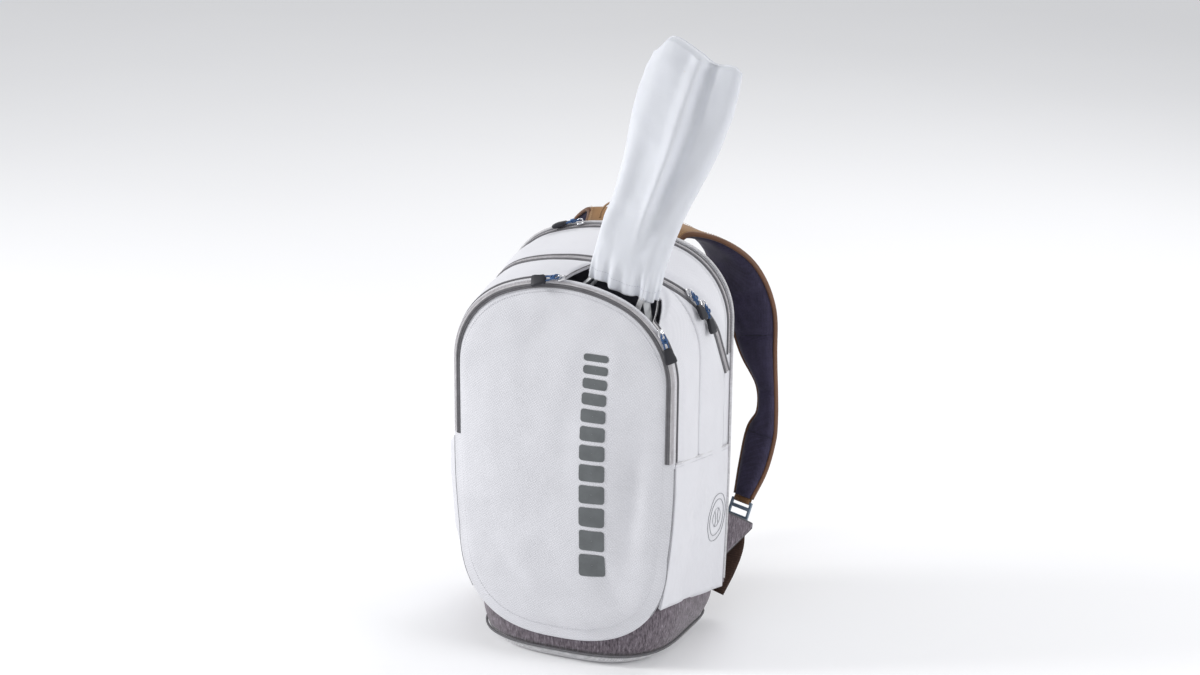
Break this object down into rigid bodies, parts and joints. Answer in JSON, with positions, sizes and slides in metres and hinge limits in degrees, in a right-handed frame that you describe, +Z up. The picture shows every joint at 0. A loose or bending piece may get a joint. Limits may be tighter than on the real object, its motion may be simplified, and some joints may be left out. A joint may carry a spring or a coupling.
{
  "type": "racket backpack",
  "caption": "Upright zipped backpack with an arched front, a rounded base band, padded straps, and a racket whose covered handle stands out of the front pocket.",
  "frame": {"origin": "centre of the base, on the surface it stands on", "axes": "+Z up, -Y towards the front panel, +X to the right seen from the front"},
  "size_m": [0.4062, 0.3177, 0.822],
  "materials": {
    "white_fabric": "woven canvas",
    "heather_fabric": "heather weave",
    "grey_tape": "zip tape",
    "white_tape": "coil zip",
    "navy_mesh": "spacer mesh",
    "tan_leather": "matte",
    "brown_webbing": "webbing",
    "dark_lining": "lining",
    "bright_metal": "polished",
    "blue_cord": "braided",
    "black_rubber": "satin",
    "buckle_plastic": "satin",
    "racket_white": "lacquer",
    "strings": "strings",
    "grip_wrap": "wrapped",
    "cap_white": "satin",
    "cover_fabric": "thin woven"
  },
  "bodies": {
    "bag": {"back_edge_piping": "white_fabric", "back_pad_left": "navy_mesh", "back_pad_right": "navy_mesh", "back_panel": "heather_fabric", "base_board": "dark_lining", "base_piping": "grey_tape", "base_tray": "white_fabric", "front_panel": "white_fabric", "heather_band": "heather_fabric", "laptop_divider": "dark_lining", "laptop_gusset": "white_fabric", "laptop_zip_coil": "white_tape", "laptop_zip_front_edge": "grey_tape", "laptop_zip_rear_edge": "grey_tape", "lower_side_panel_left": "white_fabric", "lower_side_panel_right": "white_fabric", "main_gusset": "white_fabric", "main_zip_coil": "white_tape", "main_zip_front_edge": "grey_tape", "main_zip_rear_edge": "grey_tape", "racket_pocket_divider": "dark_lining", "racket_pocket_floor": "dark_lining", "racket_pocket_gusset": "white_fabric", "racket_zip_coil_left": "white_tape", "racket_zip_coil_right": "white_tape", "racket_zip_front_edge": "grey_tape", "racket_zip_rear_edge": "grey_tape", "strap_wing_left": "heather_fabric", "strap_wing_right": "heather_fabric", "strap_yoke": "tan_leather"},
    "racket_left_slider": {"racket_left_slider": "bright_metal"},
    "racket_left_pull": {"racket_left_pull_cord": "blue_cord", "racket_left_pull_grip": "black_rubber"},
    "racket_right_slider": {"racket_right_slider": "bright_metal"},
    "racket_right_pull": {"racket_right_pull_cord": "blue_cord", "racket_right_pull_grip": "black_rubber"},
    "main_upper_slider": {"main_upper_slider": "bright_metal"},
    "main_upper_pull": {"main_upper_pull_cord": "blue_cord", "main_upper_pull_grip": "black_rubber"},
    "main_lower_slider": {"main_lower_slider": "bright_metal"},
    "main_lower_pull": {"main_lower_pull_cord": "blue_cord", "main_lower_pull_grip": "black_rubber"},
    "laptop_slider": {"laptop_slider": "bright_metal"},
    "laptop_pull": {"laptop_pull_cord": "blue_cord", "laptop_pull_grip": "black_rubber"},
    "racket": {"racket_frame": "racket_white", "string_bed": "strings", "racket_grip": "grip_wrap", "racket_butt_cap": "cap_white"},
    "handle_cover": {"handle_cover": "cover_fabric", "cover_tether": "cover_fabric"},
    "grab_handle": {"grab_handle": "tan_leather"},
    "strap_left": {"shoulder_strap_left": "navy_mesh", "strap_cover_left": "tan_leather", "strap_webbing_left": "brown_webbing"},
    "ladder_lock_left": {"ladder_lock_left": "buckle_plastic"},
    "strap_right": {"shoulder_strap_right": "navy_mesh", "strap_cover_right": "tan_leather", "strap_webbing_right": "brown_webbing"},
    "ladder_lock_right": {"ladder_lock_right": "buckle_plastic"}
  },
  "joints": [
    {"name": "racket_left_slider_travel", "type": "hinge", "parent": "bag", "child": "racket_left_slider", "pos_m": [0, -0.102, 0.30309], "axis": [0, 1, 0], "range_deg": [-22, 0]},
    {"name": "racket_right_slider_travel", "type": "hinge", "parent": "bag", "child": "racket_right_slider", "pos_m": [0.0365, -0.102, 0.38907], "axis": [0, 1, 0], "range_deg": [0, 34]},
    {"name": "main_upper_slider_travel", "type": "hinge", "parent": "bag", "child": "main_upper_slider", "pos_m": [0.03808, 0.04107, 0.41808], "axis": [-0.0142, -0.8219, -0.5695], "range_deg": [0, 15.8]},
    {"name": "main_lower_slider_travel", "type": "hinge", "parent": "bag", "child": "main_lower_slider", "pos_m": [0.03136, 0.04789, 0.41657], "axis": [0.044, 0.809, 0.5861], "range_deg": [0, 13]},
    {"name": "laptop_slider_travel", "type": "hinge", "parent": "bag", "child": "laptop_slider", "pos_m": [0, 0.0765, 0.2684], "axis": [0, 1, 0], "range_deg": [-8, 28]},
    {"name": "racket_left_pull_swing", "type": "hinge", "parent": "racket_left_slider", "child": "racket_left_pull", "pos_m": [-0.00186, -0.10701, 0.5165], "axis": [-0.2399, 0.6875, 0.6854], "range_deg": [0, 110]},
    {"name": "racket_right_pull_swing", "type": "hinge", "parent": "racket_right_slider", "child": "racket_right_pull", "pos_m": [0.13359, -0.10701, 0.45961], "axis": [-0.6907, -0.6886, -0.2208], "range_deg": [0, 110]},
    {"name": "main_upper_pull_swing", "type": "hinge", "parent": "main_upper_slider", "child": "main_upper_pull", "pos_m": [0.13316, -0.00334, 0.48406], "axis": [-0.0993, -0.9889, 0.1102], "range_deg": [0, 110]},
    {"name": "main_lower_pull_swing", "type": "hinge", "parent": "main_lower_slider", "child": "main_lower_pull", "pos_m": [0.14781, 0.00808, 0.46627], "axis": [-0.0742, -0.9889, 0.1285], "range_deg": [0, 110]},
    {"name": "laptop_pull_swing", "type": "hinge", "parent": "laptop_slider", "child": "laptop_pull", "pos_m": [-0.05198, 0.0765, 0.53583], "axis": [0, 1, 0], "range_deg": [0, 110]},
    {"name": "racket_lift", "type": "slide", "parent": "bag", "child": "racket", "axis": [0.3023, 0.0058, 0.9532], "range_m": [0, 0.015]},
    {"name": "handle_cover_pull_off", "type": "slide", "parent": "racket", "child": "handle_cover", "axis": [0.3023, 0.0058, 0.9532], "range_m": [0, 0.2]},
    {"name": "grab_handle_fold", "type": "hinge", "parent": "bag", "child": "grab_handle", "pos_m": [0, 0.093, 0.53684], "axis": [1, 0, 0], "range_deg": [0, 70]},
    {"name": "strap_left_swing", "type": "hinge", "parent": "bag", "child": "strap_left", "pos_m": [-0.043, 0.107, 0.478], "axis": [-0.1948, -0.0067, -0.9808], "range_deg": [0, 14]},
    {"name": "ladder_lock_left_tilt", "type": "hinge", "parent": "strap_left", "child": "ladder_lock_left", "pos_m": [-0.15695, 0.15217, 0.14692], "axis": [0.9734, 0.1861, 0.1337], "range_deg": [0, 30]},
    {"name": "strap_right_swing", "type": "hinge", "parent": "bag", "child": "strap_right", "pos_m": [0.043, 0.107, 0.478], "axis": [-0.1948, 0.0067, 0.9808], "range_deg": [0, 14]},
    {"name": "ladder_lock_right_tilt", "type": "hinge", "parent": "strap_right", "child": "ladder_lock_right", "pos_m": [0.15695, 0.15217, 0.14692], "axis": [0.9734, -0.1861, -0.1337], "range_deg": [0, 30]}
  ]
}
